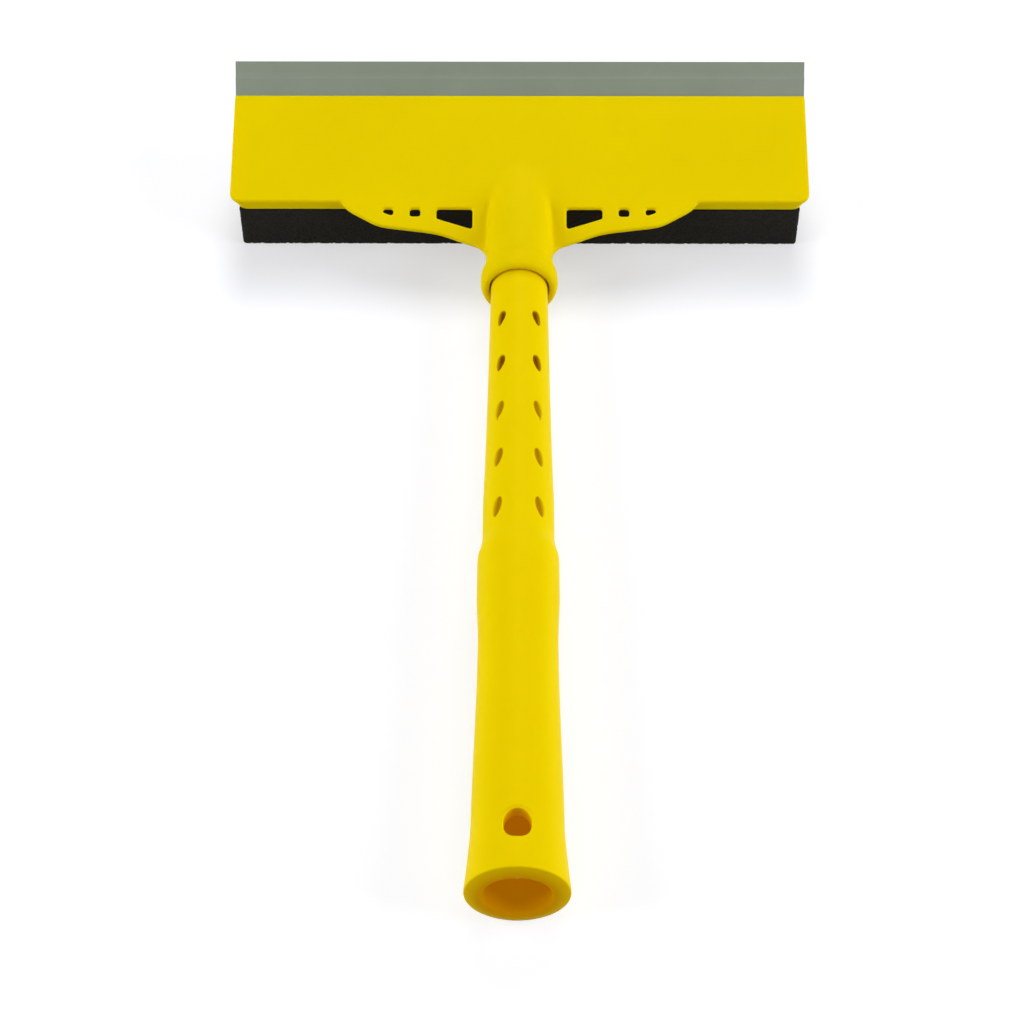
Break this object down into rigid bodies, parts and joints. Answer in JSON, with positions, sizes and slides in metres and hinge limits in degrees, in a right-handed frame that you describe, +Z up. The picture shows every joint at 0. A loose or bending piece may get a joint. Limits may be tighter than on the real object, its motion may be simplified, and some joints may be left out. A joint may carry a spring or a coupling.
{
  "type": "window squeegee",
  "caption": "Window squeegee with a rubber blade, a foam scrubbing pad under a sloping winged head, and a hollow push-in handle with a flared open end.",
  "frame": {"origin": "middle of the footprint, on the surface that the squeegee lies on", "axes": "+X along the blade, +Y from the handle toward the blade, +Z up from the surface"},
  "size_m": [0.2004, 0.319, 0.042],
  "materials": {
    "yellow_moulding": "satin gloss injection moulding",
    "grey_rubber": "matt extruded rubber",
    "black_foam": "open-cell foam"
  },
  "bodies": {
    "head": {"head_shell": "yellow_moulding", "sponge_plate": "yellow_moulding", "sponge": "black_foam"},
    "handle": {"handle": "yellow_moulding"},
    "blade": {"blade": "grey_rubber"}
  },
  "joints": [
    {"name": "handle_slide", "type": "slide", "parent": "head", "child": "handle", "axis": [0, -1, 0], "range_m": [0, 0.034]},
    {"name": "blade_slide", "type": "slide", "parent": "head", "child": "blade", "axis": [1, 0, 0], "range_m": [0, 0.2]}
  ]
}
